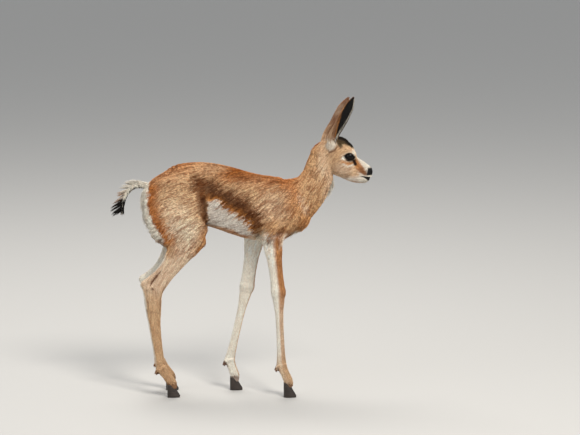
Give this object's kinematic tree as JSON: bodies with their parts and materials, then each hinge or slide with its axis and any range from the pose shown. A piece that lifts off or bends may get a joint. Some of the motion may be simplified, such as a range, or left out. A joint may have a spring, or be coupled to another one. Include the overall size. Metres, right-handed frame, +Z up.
{
  "type": "springbok lamb",
  "caption": "Life-size still model of a standing young springbok lamb with upright ears, no horns and a short tufted tail.",
  "frame": {"origin": "on the floor under the middle of the animal's box", "axes": "+X forward to the nose, +Y to the lamb's left, +Z up"},
  "size_m": [0.594, 0.1119, 0.6966],
  "materials": {
    "coat": "short matt fur, cinnamon above, white below",
    "tail_hair": "longer hair, white with a black tuft",
    "hoof": "satin dark horn",
    "eye": "wet, glossy dark brown"
  },
  "bodies": {
    "root": {"torso": "coat", "neck": "coat", "head": "coat", "tail": "tail_hair", "eye_left": "eye", "ear_left": "coat", "thigh_left": "coat", "shank_left": "coat", "hock_left": "coat", "hind_cannon_left": "coat", "forearm_left": "coat", "fore_cannon_left": "coat", "hind_pastern_left": "coat", "fore_pastern_left": "coat", "hind_hoof_inner_left": "hoof", "hind_hoof_outer_left": "hoof", "fore_hoof_inner_left": "hoof", "fore_hoof_outer_left": "hoof", "eye_right": "eye", "ear_right": "coat", "thigh_right": "coat", "shank_right": "coat", "hock_right": "coat", "hind_cannon_right": "coat", "forearm_right": "coat", "fore_cannon_right": "coat", "hind_pastern_right": "coat", "fore_pastern_right": "coat", "hind_hoof_inner_right": "hoof", "hind_hoof_outer_right": "hoof", "fore_hoof_inner_right": "hoof", "fore_hoof_outer_right": "hoof"}
  },
  "joints": []
}
